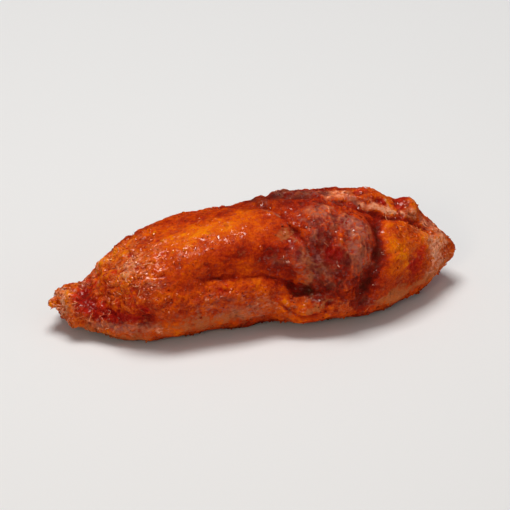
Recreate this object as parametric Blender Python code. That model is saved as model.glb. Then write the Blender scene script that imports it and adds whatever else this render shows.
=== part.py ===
"""A glazed, roasted chicken tender: one plump strip of meat lying on its flattened underside.

The tender lies along X, its narrow snout at -X and its pointed tail at +X. Its front flank faces -Y,
and its underside rests on the plane Z = 0. It is one solid: a sphere's rings are drawn out into the
strip's cross-sections, then bulges and creases are pressed into that skin.
Lengths are in millimetres, and the last step scales the mesh to metres. A place on the skin is given
as x and an angle round the strip in degrees: 0 is the top, 90 the front, -90 the back, 180 below.
"""
import bmesh
import bpy
import numpy as np
from mathutils import Vector, noise

MM = 0.001

LENGTH = 105.0
HALF_LENGTH = LENGTH / 2
RING_COUNT = 88           # rings from snout to tail
RING_POINTS = 54          # points round each ring
UPPER_ROUNDNESS = 2.15    # superellipse exponents: 2 is an ellipse, more is boxier
LOWER_ROUNDNESS = 2.9
WAIST_SHARE = 0.37        # height of a section's widest line, as a share of its height

# Cross-sections along the strip, each: x, reach to the front, reach to the back, underside, top.
SECTIONS = (
    (-HALF_LENGTH, 0.0, 0.0, 7.5, 7.5),
    (-50.0, 3.6, 6.5, 3.7, 10.0),
    (-46.0, 5.4, 9.0, 2.6, 10.8),
    (-41.0, 8.3, 11.0, 1.4, 12.6),
    (-36.0, 12.0, 12.5, 0.5, 17.0),
    (-26.0, 16.3, 15.5, 0.0, 23.0),
    (-12.0, 14.8, 17.0, 0.0, 25.5),
    (0.0, 14.2, 18.0, 0.0, 26.5),
    (12.0, 18.0, 19.0, 0.0, 28.0),
    (26.0, 17.5, 19.0, 0.0, 26.5),
    (38.0, 11.5, 15.0, 1.2, 21.0),
    (46.0, 5.5, 9.5, 4.4, 16.0),
    (HALF_LENGTH, 0.0, 0.0, 10.0, 10.0),
)

# Muscle bulges, each: x, angle, spread along the strip, spread round it, height.
BULGES = {
    "long upper muscle": (-9.0, 36.0, 17.0, 8.0, 1.1),
    "long lower muscle": (-8.0, 86.0, 17.0, 4.5, 1.7),
    "rough shoulder": (-31.0, 40.0, 8.0, 9.0, 1.1),
    "snout knuckle": (-45.5, 60.0, 4.0, 4.5, 0.8),
    "belt round the middle": (16.5, 45.0, 7.5, 15.0, 1.3),
    "tail muscle": (33.5, 52.0, 8.0, 9.0, 1.2),
    "flank lump": (6.5, 101.0, 4.5, 3.4, 2.3),
    "flank lump by the belt": (17.5, 100.0, 5.0, 3.2, 1.0),
    "crest lobe": (31.0, -12.0, 5.5, 5.0, 2.4),
    "crest lobe near the tail": (39.5, -10.0, 4.0, 4.0, 2.0),
    "crest ridge": (7.5, -22.0, 8.0, 3.5, 1.3),
    "back muscle": (-16.0, -62.0, 16.0, 8.0, 1.4),
    "back lower muscle": (6.0, -98.0, 18.0, 4.5, 1.5),
    "back tail muscle": (26.0, -58.0, 9.0, 7.0, 1.2),
}

# Creases, each: width, depth, and the places it runs through as (x, angle).
CREASES = {
    "belly crease": (2.2, 1.7, ((-24, 59), (-13, 62), (-3, 68), (3, 75), (9, 83))),
    "flank pocket": (2.6, 3.4, ((3, 77), (9, 83), (15, 80))),
    "belt's near edge": (2.3, 0.9, ((-1, -6), (6, 18), (7, 42), (9, 62), (9, 80))),
    "belt's far edge": (2.3, 1.9, ((28, 4), (28.5, 24), (27, 45), (27, 62), (23, 84), (18, 100))),
    "belt's furrow": (2.4, 1.1, ((19, 10), (18, 34), (13, 58), (11, 74))),
    "crest crease": (2.2, 1.8, ((15, 0), (25, 8), (32, 10), (38, 6), (47, 8))),
    "notch between crest lobes": (2.0, 1.9, ((35.5, -38), (35.5, -10), (34, 12))),
    "snout crease": (2.3, 1.5, ((-41, -70), (-42.5, 0), (-41, 45), (-38, 72), (-32, 86), (-24, 98))),
    "back crease": (2.3, 1.9, ((-36, -70), (-18, -84), (-2, -82), (12, -78), (30, -86))),
    "back furrow": (2.3, 1.5, ((4, -20), (6, -48), (3, -78))),
    "back tail crease": (2.2, 1.5, ((33, -28), (36, -56), (34, -90))),
}
CREASE_END = 0.18         # share of a crease's run over which it fades at each end
LIP_SHARE = 0.22          # a crease's raised lips, as a share of its depth
LIP_OFFSET = 1.9          # and their distance from it, in crease widths
PATH_STEPS = 60           # points that stand for a crease's path

LUMPS = ((13.0, 0.75), (5.5, 0.38))   # uneven flesh: size and height of the lumps
LUMP_SEED = Vector((3.1, 7.7, 1.9))
SOFTENING_PASSES = 2
RESTING_PRESS = 0.55      # how far the strip's weight flattens its underside


def smooth_through(knots, values, at):
    """A smooth curve through the values at the knots, read at the places `at`."""
    knots, values = np.asarray(knots, float), np.asarray(values, float)
    slopes = np.gradient(values, knots)
    i = np.clip(np.searchsorted(knots, at) - 1, 0, len(knots) - 2)
    span = knots[i + 1] - knots[i]
    t = (at - knots[i]) / span
    return (
        (2 * t**3 - 3 * t**2 + 1) * values[i]
        + (t**3 - 2 * t**2 + t) * span * slopes[i]
        + (3 * t**2 - 2 * t**3) * values[i + 1]
        + (t**3 - t**2) * span * slopes[i + 1]
    )


def ring_angle(x):
    """The angle from the snout's pole of the sphere's ring that is drawn out to x."""
    return np.arccos(np.clip(-np.asarray(x, float) / HALF_LENGTH, -1, 1))


def skin_point(x, around):
    """A place on the strip's plain skin, before any bulge or crease."""
    x, turn = np.broadcast_arrays(np.asarray(x, float), np.radians(around))
    knots, *columns = np.array(SECTIONS).T
    front, back, underside, top = (
        smooth_through(ring_angle(knots), column, ring_angle(x)) for column in columns
    )
    waist = underside + WAIST_SHARE * (top - underside)
    side, rise = np.sin(turn), np.cos(turn)
    upper = rise > 0
    power = 2 / np.where(upper, UPPER_ROUNDNESS, LOWER_ROUNDNESS)
    reach = np.where(side > 0, front, back)
    height = np.where(upper, top - waist, waist - underside)
    y = -np.sign(side) * reach * np.abs(side) ** power
    z = waist + np.sign(rise) * height * np.abs(rise) ** power
    return np.stack([x, y, z], axis=-1)


def place_on_skin(mesh):
    """Draws a unit sphere, whose poles are on Z, out into the strip."""
    for vertex in mesh.verts:
        around = np.degrees(np.arctan2(vertex.co.y, vertex.co.x))
        vertex.co = Vector(skin_point(vertex.co.z * HALF_LENGTH, around))


def bulge_height(skin):
    """How far the muscle bulges raise each point of the skin."""
    height = np.zeros(len(skin))
    for x, around, along_spread, round_spread, rise in BULGES.values():
        offset = skin - skin_point(x, around)
        along = offset[:, 0] / along_spread
        across = np.hypot(offset[:, 1], offset[:, 2]) / round_spread
        height += rise * np.exp(-(along**2 + across**2))
    return height


def nearest_on_path(skin, places):
    """Distance of each point of the skin from a path through places on it, and the share of the
    path's run at which it comes nearest."""
    share = np.linspace(0, 1, PATH_STEPS)
    stops = np.linspace(0, 1, len(places))
    x, around = (smooth_through(stops, column, share) for column in zip(*places))
    gaps = np.linalg.norm(skin[:, None, :] - skin_point(x, around)[None, :, :], axis=2)
    return gaps.min(axis=1), share[gaps.argmin(axis=1)]


def crease_depth(skin):
    """How far the creases press each point in, less what their lips raise it."""
    depth = np.zeros(len(skin))
    for width, deepest, places in CREASES.values():
        distance, share = nearest_on_path(skin, places)
        across = distance / width
        furrow = np.exp(-(across**2))
        lips = np.exp(-((across - LIP_OFFSET) ** 2))
        fade = np.sin(np.minimum(np.minimum(share, 1 - share) / CREASE_END, 1) * np.pi / 2)
        depth += deepest * fade * (furrow - LIP_SHARE * lips)
    return depth


def lump_height(skin):
    """Uneven flesh, the same at every run."""
    height = np.zeros(len(skin))
    for size, rise in LUMPS:
        for i, point in enumerate(skin):
            height[i] += rise * noise.noise(Vector(point) / size + LUMP_SEED)
    return height


def centre(mesh):
    """Puts the middle of the strip's length and width on the origin."""
    places = np.array([vertex.co for vertex in mesh.verts])
    middle = (places.min(axis=0) + places.max(axis=0)) / 2
    bmesh.ops.translate(mesh, vec=(-middle[0], -middle[1], 0.0), verts=mesh.verts)


def press_flat(mesh):
    """Flattens the underside where the strip rests, and puts it on Z = 0."""
    for vertex in mesh.verts:
        vertex.co.z = max(vertex.co.z - RESTING_PRESS, 0.0)


def glaze_material():
    material = bpy.data.materials.new("glazed_chicken")
    material.use_nodes = True
    surface = material.node_tree.nodes["Principled BSDF"]
    surface.inputs["Base Color"].default_value = (0.50, 0.11, 0.02, 1.0)
    surface.inputs["Roughness"].default_value = 0.35
    surface.inputs["Metallic"].default_value = 0.0
    return material


def make_tender():
    mesh = bmesh.new()
    bmesh.ops.create_uvsphere(mesh, u_segments=RING_POINTS, v_segments=RING_COUNT, radius=1.0)
    place_on_skin(mesh)
    bmesh.ops.recalc_face_normals(mesh, faces=mesh.faces)
    mesh.normal_update()

    skin = np.array([vertex.co for vertex in mesh.verts])
    shift = bulge_height(skin) - crease_depth(skin) + lump_height(skin)
    for vertex, outward in zip(mesh.verts, shift):
        vertex.co += vertex.normal * outward
    for _ in range(SOFTENING_PASSES):
        bmesh.ops.smooth_vert(
            mesh, verts=mesh.verts, factor=0.5, use_axis_x=True, use_axis_y=True, use_axis_z=True
        )
    press_flat(mesh)
    centre(mesh)
    bmesh.ops.scale(mesh, vec=(MM, MM, MM), verts=mesh.verts)

    data = bpy.data.meshes.new("tender")
    mesh.to_mesh(data)
    mesh.free()
    data.shade_smooth()
    data.materials.append(glaze_material())
    return bpy.data.objects.new("tender", data)


def main():
    for obj in list(bpy.data.objects):
        bpy.data.objects.remove(obj)
    collection = bpy.data.collections.new("chicken_tender")
    bpy.context.scene.collection.children.link(collection)
    collection.objects.link(make_tender())


main()
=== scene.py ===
"""The looks of a glazed, roasted chicken tender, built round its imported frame.

The strip of meat is sculpted from the frame's solid: folds, a grainy crust, wrinkles and muscle
fibres. Frayed strands, beads of glaze, crumbs and flecks of spice lie on it as pieces of their own.
Sculpting is done in millimetres, and a piece is scaled to metres when it is finished. A place on the
strip is given as x and the angle round the strip's axis in degrees: 0 is the top, 90 the front, -90
the back and 180 below. The snout is at -X, the pointed tail at +X.
"""

import math
from functools import cache

import bmesh
import bpy
import numpy as np
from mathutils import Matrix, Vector, noise
from mathutils.bvhtree import BVHTree


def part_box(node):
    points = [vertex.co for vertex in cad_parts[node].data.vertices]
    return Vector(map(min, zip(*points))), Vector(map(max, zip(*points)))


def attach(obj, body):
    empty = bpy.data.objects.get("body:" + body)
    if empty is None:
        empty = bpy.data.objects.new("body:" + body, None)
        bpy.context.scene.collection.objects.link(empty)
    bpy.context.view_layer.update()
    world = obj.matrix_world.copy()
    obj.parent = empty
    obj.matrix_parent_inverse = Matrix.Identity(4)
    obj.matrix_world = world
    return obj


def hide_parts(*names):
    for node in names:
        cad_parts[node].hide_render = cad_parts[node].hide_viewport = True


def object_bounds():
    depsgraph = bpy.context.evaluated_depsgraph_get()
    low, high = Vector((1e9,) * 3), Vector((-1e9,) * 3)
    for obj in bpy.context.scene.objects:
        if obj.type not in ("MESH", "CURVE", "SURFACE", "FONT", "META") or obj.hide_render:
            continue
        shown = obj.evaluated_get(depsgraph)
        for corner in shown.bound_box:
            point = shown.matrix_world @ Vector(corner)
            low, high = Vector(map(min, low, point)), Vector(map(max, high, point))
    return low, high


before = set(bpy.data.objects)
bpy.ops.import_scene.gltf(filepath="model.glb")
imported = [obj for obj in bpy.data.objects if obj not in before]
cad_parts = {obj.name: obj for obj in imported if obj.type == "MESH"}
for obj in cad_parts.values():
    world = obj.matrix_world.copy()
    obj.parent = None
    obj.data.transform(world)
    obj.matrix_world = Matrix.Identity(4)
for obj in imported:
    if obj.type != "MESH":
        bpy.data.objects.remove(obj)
cad_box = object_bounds()

MM = 0.001
BODY = "root"
NODE = "tender"
AXIS_HEIGHT = 8.0          # height of the axis that places are turned round
SKIN_STEP = 0.36           # size of the sculpted skin's faces
START_PASSES = 8           # passes of averaging that even it out before it is sculpted
PATH_STEPS = 160           # points that stand for the path of a fold or a streak
PATH_SMOOTHING = 4         # how often a path is averaged after it is laid on the frame
TINY = 1e-6                # less than any length or slope that matters

# Folds. Each: half width, depth, how far its upper lip leans over it, and the places it runs
# through as (x, angle).
FOLDS = {
    "belly crease": (
        0.85, 0.38, 0.15,
        ((-18, 56), (-13, 56.5), (-8, 58), (-3, 61), (0.8, 62), (4, 68), (6, 74), (9, 79))),
    "flank pocket": (1.2, 0.8, 0.3, ((4.5, 70), (7.5, 76), (10.5, 78), (12.5, 77), (14, 72))),
    "under the flank lump": (0.8, 0.6, 0.0, ((1.5, 84), (4.5, 92), (9, 96), (13, 90), (14.5, 82))),
    "belt's near edge": (
        0.9, 0.40, 0.15, ((-3, -10), (3, -2), (6, 11), (7.5, 26), (9.6, 44), (10.6, 60), (10.5, 72))),
    "belt's furrow": (1.0, 0.35, 0.1, ((19.5, 8), (18.4, 24), (15.6, 42), (13.4, 60), (12.6, 72))),
    "belt's second furrow": (0.9, 0.3, 0.1, ((24, 12), (21.6, 26), (19.6, 42), (18.8, 58), (17.2, 72))),
    "belt's far edge": (
        1.4, 0.40, 0.15,
        ((30.3, 12), (29.2, 28), (28.2, 46), (27.4, 57), (24.7, 74), (22.8, 86), (20, 96))),
    "crest crease": (1.2, 0.7, 0.15, ((15, -2), (24, 4), (30.3, 13), (34, 14), (38, 16), (44, 20))),
    "notch between crest lobes": (1.1, 0.4, 0.1, ((34.6, -40), (35, -20), (34.6, -8))),
    "groove below the top ridge": (1.1, 0.7, 0.2, ((0, -22), (6.8, -15), (13.7, -6), (20, -9))),
    "snout crease": (
        1.1, 0.25, 0.1, ((-48, 56), (-46, 70), (-42, 89), (-38, 91), (-35, 91), (-31, 84), (-27, 88))),
    "snout knuckle's edge": (0.9, 0.8, 0.2, ((-46.5, -40), (-45.8, 0), (-44.5, 30), (-43, 52))),
    "shoulder furrow": (1.0, 0.4, 0.1, ((-41, -10), (-36.5, 12), (-35.5, 38), (-37.5, 62))),
    "shoulder's far furrow": (1.1, 0.25, 0.0, ((-27, -8), (-24, 20), (-25.5, 42), (-27, 58))),
    "back crease": (1.1, 0.5, 0.15, ((-38, -60), (-20, -74), (-4, -80))),
    "back crease's end": (1.0, 0.5, 0.1, ((2, -72), (14, -74), (24, -84), (32, -80))),
    "back furrow": (1.0, 0.5, 0.15, ((4, -18), (6, -40), (3, -70))),
    "back tail crease": (1.1, 0.6, 0.15, ((34, -26), (37, -50), (34, -84))),
    "back shoulder fold": (1.0, 0.5, 0.15, ((-33, -14), (-29, -38), (-31, -66))),
    "lower back furrow": (0.8, 0.6, 0.2, ((-22, -96), (-6, -92), (8, -98), (20, -94))),
}
FOLD_END = 0.16            # share of a run over which a fold or a streak fades at each end
FOLD_REACH = 6             # how far a fold is felt, in half widths
LIP_PLACE = 2.0            # the distance of a fold's lips from it, in half widths
LIP_RISE = 0.25            # height of its upper lip, as a share of its depth
LOWER_LIP = 0.6            # height of its lower lip, as a share of the upper one's
LEAN_PLACE = 1.1           # where its upper lip leans over most, in half widths

# Where the skin has grainy crust or wrinkles, and where its glaze is thin and golden (amber), thick
# and dark (maroon, which in creases and pits is painted shade), deep red (crimson), burnt (char,
# which in the pocket, pits and creases is painted shade), duller and paled by a painted sheen
# (mauve) or missing, so that the meat shows (tan). Each: x, angle, spread along, spread round,
# strength.
SPOTS = {
    "crust": {
        "shoulder": (-34, 34, 11, 11, 1.0), "snout": (-47, 10, 8, 9, 1.0),
        "shoulder's back": (-38, -40, 11, 11, 1.0), "snout's cheek": (-40, 88, 9, 5, 0.9),
        "crest": (30, -12, 9, 5, 0.55), "crest's end": (40, -6, 7, 5, 0.55),
        "tail tip": (49, 20, 5, 6, 0.7), "tail's upper edge": (41, 22, 8, 3.5, 0.6),
        "back of the tail": (38, -60, 9, 9, 0.8), "middle of the back": (2, -60, 9, 8, 0.55),
        "low belt": (17, 84, 7, 5, 0.5), "tail": (38, 56, 9, 10, 0.5), "lower lobe": (-10, 78, 17, 5, 0.4),
        "lobe's brow": (-18, 20, 6, 8, 0.25),
    },
    "wrinkle": {
        "belt": (17, 38, 8, 15, 1.0), "belt's foot": (16, 72, 8, 6, 0.8),
        "belt's back": (15, -30, 9, 10, 0.8), "back": (-8, -50, 16, 10, 0.6),
    },
    "amber": {
        "belt's lilac": (18.7, 17, 2.4, 2.2, 0.4), "pink before the crest": (21.2, -5, 3.0, 1.9, 0.6),
        "tail's red": (39.6, 58, 2.4, 3.0, 0.3), "upper lobe": (-13, 10, 11, 4.8, 0.9),
        "upper lobe's brow": (-3, 14, 8, 3.2, 0.5), "tail": (33.2, 46, 4.0, 4.6, 0.75),
        "tail's heart": (35.5, 60, 3.4, 3.4, 0.4), "lower lobe": (-16, 68, 6, 2.2, 0.4),
        "knob": (34.3, 4, 1.9, 1.7, 0.9), "belt window": (18.4, 39, 2.2, 2.6, 0.75),
        "flank lump": (7, 86, 3.0, 1.6, 0.8), "shoulder's rim": (-38.5, -16, 2.6, 6, 0.9),
        "shoulder's brow": (-33, -14, 3, 5, 0.6), "shoulder gap": (-26, 30, 2.6, 1.8, 0.6),
        "shoulder's pink": (-32.5, 30, 2.6, 3.4, 0.5), "snout's foot": (-24.5, 101, 3.0, 2.0, 0.5),
        "crest lobe": (30.0, -16, 2.4, 1.8, 0.3), "second crest lobe": (40.5, -6, 2.2, 1.4, 0.5),
        "notch's pale wall": (33.2, 1, 2.6, 1.4, 0.8), "back lobe": (-14, -58, 12, 5, 0.9),
        "back tail": (28, -56, 6, 5, 0.8), "low back": (6, -92, 10, 3.4, 0.6),
        "tail's pale tip": (45.5, 52, 3.4, 6.0, 0.8), "snout's pale end": (-49.5, 84, 2.4, 5.0, 1.0),
        # The ridge's pale top is a painted highlight.
        "ridge's pale top": (24, -12, 5.0, 1.8, 0.7),
    },
    "maroon": {
        # Darker glaze; in the pocket, the pits, the folds and under the belt it is also painted shade.
        "shoulder's crimson": (-38.5, 46, 2.0, 3.0, 0.55), "shoulder's red": (-42.5, 6, 1.6, 6.0, 0.6),
        "lobe's foot": (3, 50, 4.5, 3.4, 0.8), "belt's heart": (16.5, 56, 3, 4.4, 0.6),
        "belt's low edge": (22.5, 86, 3.4, 3.2, 0.5), "belt's far edge": (28.3, 34, 1.8, 6, 0.85),
        "belt's far edge low": (26.6, 62, 2.0, 5, 0.75), "belt's near side": (12, 46, 3.5, 5, 0.6),
        "tail's red": (39.6, 54, 2.2, 3.2, 0.2), "saddle of the crest": (38.0, -7, 2.0, 3.0, 0.8),
        "belt's low purple": (21.2, 60, 2.4, 3.0, 0.5), "pit behind the ridge": (32.3, 0, 1.8, 0.9, 0.8),
        "pit in the notch": (36.4, -7, 1.2, 1.6, 0.6),
        "second crest lobe's end": (44.8, -6, 1.6, 3.0, 0.6),
        "crest lobe's side": (28.5, -8, 3.4, 3.0, 0.5),
        "second crest lobe's side": (42, -8, 3.4, 3.0, 0.4), "below the crest": (38.5, 14, 3.6, 1.1, 0.7),
        "upper lobe's foot": (-4, 38, 6, 3, 0.4), "top": (12, 2, 7, 4, 0.35),
        "pocket": (9, 77, 3.4, 1.6, 0.8), "ridge": (9, -14, 8, 2.6, 0.9),
        "lower lobe": (-11, 71, 3.4, 2.4, 0.5), "under the belt": (14, 80, 6, 3, 0.6),
        "back fold": (-2, -77, 14, 2.4, 0.8), "back shoulder": (-31, -50, 5, 5, 0.7),
        "back tail": (37, -62, 4, 5, 0.7),
    },
    "crimson": {
        "tail": (39.8, 58, 1.8, 2.8, 0.9), "tail, lower": (37.9, 73, 2.6, 2.2, 0.75),
        "belt's heart": (17.0, 51, 1.8, 3.0, 0.8), "belt's near heart": (14.5, 48, 1.6, 2.8, 0.6),
        "cheek": (-31.3, 78, 1.7, 1.4, 0.9), "cheek's top": (-33.4, 69, 1.3, 1.8, 0.8),
        "shoulder's rim": (-39.6, -8, 1.6, 3.4, 0.6), "snout": (-45.6, 58, 1.8, 2.4, 0.8),
        "snout's brow": (-43.5, 10, 1.4, 5.0, 0.6), "shoulder": (-38.5, 40, 1.4, 3.4, 0.6),
        "lower lobe": (-12.8, 70, 1.6, 1.1, 0.8), "lower lobe's edge": (-10.4, 65.5, 1.3, 0.9, 0.7),
        "below the lower lobe": (-6.0, 84, 1.3, 0.9, 0.4), "lump's near side": (1.5, 82, 1.6, 1.1, 0.5),
        "crest lobe": (27.6, -14, 1.5, 2.0, 0.6), "second crest lobe": (38.2, -9, 1.5, 2.2, 0.7),
        "pit behind the ridge": (32.3, 0, 1.6, 1.0, 0.9), "back": (-20, -66, 4, 2.0, 0.6),
        "back of the tail": (34, -66, 3, 2.0, 0.6), "back shoulder": (-36, -44, 2.0, 2.6, 0.6),
    },
    "char": {
        # Painted shade: the pocket, the ridge's start, the pits below the crest and the belt's low corner.
        "pocket": (10.0, 78, 2.8, 1.1, 0.75), "start of the ridge": (5.5, -12, 7.0, 4.0, 0.65),
        "pits below the crest": (39.4, 6.5, 1.8, 0.8, 0.5), "belt's low corner": (21.5, 88, 2.0, 1.6, 0.5),
    },
    "mauve": {
        # Duller glaze, paled by a painted sheen.
        "dark ridge": (8, -16, 9, 3.6, 0.6), "pink before the crest": (21.2, -5, 3.0, 1.9, 0.9),
        "lower lobe": (-12, 82, 15, 4.0, 0.36), "below the lower lobe": (-4, 91, 7, 2.4, 0.5),
        "lobe's foot": (2.5, 48, 4.0, 2.6, 0.4), "belt's low corner": (23.5, 90, 3.4, 2.4, 0.4),
        "whole belt": (15.5, 44, 7, 15, 0.42), "belt": (22.2, 34, 3.4, 4.2, 1.0),
        "belt low": (22.6, 52, 3.2, 4.2, 0.85), "belt top": (15.5, 14, 4.2, 2.6, 0.7),
        "belt's brow": (17, 26, 2, 3.6, 0.5), "belt's near wall": (9.4, 58, 3, 5, 0.6),
        "shoulder": (-32.5, 30, 2.2, 3.0, 0.95), "tail": (45, 54, 3.2, 5.4, 1.0),
        "second crest lobe's end": (44.8, -6, 1.6, 3.0, 0.4), "snout's end": (-49.4, 70, 1.8, 4.6, 0.8),
        "top ridge": (23, -13, 6, 1.8, 0.8), "tail ridge": (36.5, 4, 5, 0.7, 0.5),
        "notch": (33.3, 0, 1.6, 1.2, 0.9), "back": (12, -48, 5, 6, 0.7),
        "back snout": (-40, -58, 4, 4, 0.6), "belt's far edge": (27, 58, 2.6, 9, 0.2),
    },
    "tan": {
        "tail's foot": (33, 98, 9, 2.2, 0.9), "tail's low edge": (43, 96, 6, 2.2, 0.8),
        "pale spot": (8.4, 90, 1.6, 1.1, 0.9), "low tan": (29, 95, 4, 1.6, 0.6),
        "wall by the pocket": (9.6, 66, 1.1, 4.4, 0.7), "lobe's end": (5, 30, 2.6, 1.8, 0.4),
        "foot of the lower lobe": (-14, 95, 16, 3.2, 0.8), "snout's end": (-49.5, 80, 2.4, 4.4, 0.9),
        "back foot": (0, -108, 30, 3.2, 0.6),
    },
}
# Lines of the same kinds. Each: half width, strength, and the places it runs through.
STREAKS = {
    "mauve": {
        # Painted sheen; along the top ridge it is a painted highlight.
        "top ridge": (0.85, 1.0, ((13, -14), (22, -17), (24, -8), (27, 3), (33, 5), (37, 3), (42, 4))),
        "tail's brow": (1.1, 0.8, ((41, 3), (45, 2), (47.5, 19), (50, 41))),
        "belt's thread": (0.5, 0.8, ((2, -3), (4.5, 4), (6.5, 13))),
        "belt's veins": (0.5, 0.6, ((9.5, 20), (12, 34), (11.5, 48), (14, 60), (15, 74))),
        "tail's hem": (0.9, 0.6, ((40, 92), (46, 86), (50, 72))),
        "snout's rim": (1.7, 0.85, ((-45, 106), (-39, 105), (-34, 101), (-29.5, 97), (-26, 97))),
    },
    "crimson": {
        "snout's band": (1.9, 0.95, ((-47, 68), (-43.5, 84), (-40, 89), (-35.5, 90), (-31.5, 85))),
    },
    "char": {
        # Painted shade along the belt's far edge and the crest crease.
        "belt's far edge": (1.2, 0.55, ((29, 20), (28, 46), (27, 58), (24.5, 74), (22, 88))),
        "crest crease": (0.6, 0.4, ((27, 7), (33, 13), (38, 15))),
    },
    "tan": {
        "snout's hem": (1.8, 0.85, ((-47, 128), (-40, 124), (-34, 116), (-28, 110))),
        "lobe's end": (1.1, 0.5, ((3, 25), (7, 34), (9.2, 50), (9.7, 64), (10, 73))),
        "tail's hem": (1.3, 0.8, ((24, 93), (31, 99), (40, 100), (46, 98), (50, 88))),
        "flank lump's edge": (0.8, 0.7, ((8, 91), (11, 88), (14, 84), (17, 86))),
    },
    "maroon": {
        # Darker glaze; along the creases and the groove below the ridge it is painted shade.
        "snout's dark band": (
            3.0, 0.52, ((-48, 58), (-44.5, 78), (-40, 87), (-35.5, 88), (-31, 83), (-28, 84))),
        "belly crease": (0.9, 0.4, ((-17, 56), (-12, 57), (-8, 58), (0, 61.5), (5, 71), (8, 77))),
        "groove below the top ridge": (1.1, 0.9, ((-2, -22), (6.8, -15), (13.7, -7), (21, -10))),
        "belt's far edge": (1.4, 0.3, ((30, 13), (29, 28), (28, 46), (27, 58), (24.5, 74), (21.5, 90))),
        "crest crease": (0.9, 0.7, ((24, 5), (30.5, 13), (38, 16), (43, 18))),
        "back crease": (1.2, 0.4, ((-36, -62), (-20, -76), (-2, -78), (12, -72), (28, -78))),
    },
    "amber": {
        # Painted highlights: the lower lobe's edge and the crest's pale line, lighter where light catches
        # them.
        "lower lobe's edge": (0.9, 0.4, ((-16, 60), (-8, 62), (-2, 65), (2, 70))),
        "knob's edge": (0.8, 0.6, ((31, 6), (34, 8), (37, 8))),
        "crest's pale line": (0.8, 0.8, ((25.5, 2), (29, 6), (33, 5.5), (37, 4), (41, 5))),
    },
}
SPOT_DRIFTS = ((4.0, 1.5, 11), (1.3, 0.5, 17))   # how outlines wander: wave size, reach, seed
STREAK_REACH = 3           # how far a streak is felt, in half widths

# Small dents and bulges of the skin. Each: x, angle, spread along, spread round, height.
SWELLINGS = {
    "step behind the snout": (-43.6, -8, 1.8, 5.0, -1.0), "snout's knob": (-47.5, 40, 2.2, 3.0, 0.7),
    "snout's lower corner": (-47.5, 112, 1.8, 2.4, 0.7),
    "notch below the snout": (-44.2, 118, 1.2, 1.6, -1.0),
    "below the snout's end": (-50.6, 122, 2.4, 3.6, -1.5), "snout's upper tip": (-50.6, 12, 1.6, 2.6, 0.6),
    "shoulder's knob": (-37.5, -20, 2.6, 3.2, 0.7), "shoulder's second knob": (-31, -34, 2.6, 3.2, 0.6),
    "lump in the shoulder": (-33, 40, 3.0, 3.2, 0.6),
    "hollow in the shoulder": (-36.5, 60, 2.4, 2.6, -0.5),
    "filled snout crease": (-34.5, 89, 4.0, 2.2, 0.9),
    "filled crease by the cheek": (-40, 88, 3.0, 2.2, 0.6), "belt's lump": (22.4, 38, 2.4, 4.2, 0.6),
    "belt's near lump": (15.5, 30, 2.4, 4.4, 0.5), "belt's low lump": (20.0, 62, 2.4, 3.2, 0.6),
    "belt's low near lump": (14.0, 66, 1.8, 2.4, 0.5), "knob by the crest": (34.3, 4, 2.4, 2.6, 1.0),
    "tail's lump": (40.5, 44, 2.4, 3.4, 0.5), "tail's brow": (45.5, -4, 3.4, 3.0, 1.0),
    "tail's low hem": (34.0, 99, 8.0, 1.6, 0.5), "crest ridge's start": (2.5, -20, 5.0, 3.4, 1.1),
    "second crest lobe": (40.5, -10, 4.4, 3.8, 1.8), "saddle of the crest": (35.4, -16, 1.6, 3.0, 0.7),
    "pit behind the ridge": (32.0, -0.5, 2.0, 0.9, -0.8), "pit in the notch": (36.4, -7, 1.1, 1.6, -0.6),
}
BLUNT_END = -48.9          # x beyond which the snout is squeezed
BLUNT_SHARE = 0.25         # what is left of its length there
SHRED_SIZE = (2.4, 1.0)    # reach along Y and Z of the shred at its tip, which isn't squeezed

BELT_WINDOW = (18.2, 38)   # the place where the belt's painted sheen has a golden gap
WINDOW_RADIUS = 2.6
DEEPEST_GLAZE = 0.86       # how near to burnt it gets

# What the material reads at each point: the glaze's depth, made darker in hollows and creases and
# lighter on ridges partly as painted shade and light, a painted sheen on duller glaze (mauve), bare
# meat (tan), deep red glaze (crimson), how rough and how wet the surface is, and char, which also
# paints shade in the pocket, pits and creases.
MARKS = ("glaze", "mauve", "tan", "crimson", "rough", "wet", "char")

# Kinds of frayed strands. Each: how many, their main direction and its spread, their lengths and
# radii, how far they lift midway and how far their ends rise.
STRANDS = {
    "shoulder": (110, (0, 0, 0), (1.0, 0.8, 0.8), (1.2, 3.4), (0.09, 0.17), 0.10, 0.0),
    "pale ridges": (80, (0, 0, 0), (1.0, 0.8, 0.8), (1.5, 4.0), (0.08, 0.15), 0.10, 0.0),
    "belt": (14, (0, 0, 0), (1.0, 0.8, 0.8), (1.2, 3.0), (0.08, 0.13), 0.08, 0.0),
    "snout's crimson": (12, (0, 0, 1), (0.3, 0.2, 0.2), (1.4, 2.8), (0.12, 0.19), 0.22, 0.0),
    "snout's tip": (34, (-1, 0, 0.2), (0.3, 0.5, 0.5), (1.2, 2.6), (0.14, 0.26), 0.20, 0.7),
    "tail's tip": (30, (1, 0, 0), (0.5, 0.5, 0.5), (1.0, 2.4), (0.10, 0.18), 0.15, 0.4),
    "crust's top": (44, (0, 0, 0), (1.0, 1.0, 1.0), (1.0, 2.2), (0.09, 0.15), 0.15, 0.45),
}
STRAND_STEPS = 8           # points along a strand
STRAND_SIDES = 6           # points round it
THINNEST_ON_STRAND = 0.24  # the thinnest glaze a strand may have
BEAD_COUNT = 850
HEM_CRUMB_COUNT = 150
CRUST_CRUMB_COUNT = 200
FLECK_COUNT = 260
LUMP_SIZE = 0.9            # size of the lumps of a crumb or fleck, in its own radii

CAMERA_AZIMUTH = -14.0
CAMERA_ELEVATION = 30.0
CAMERA_DISTANCE = 0.68
FRAME_WIDTH = 0.127        # width of the view at the tender
SENSOR = 36.0
WARM_WHITE = (1.0, 0.95, 0.88)
PEACH_WHITE = (1.0, 0.76, 0.55)
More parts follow.
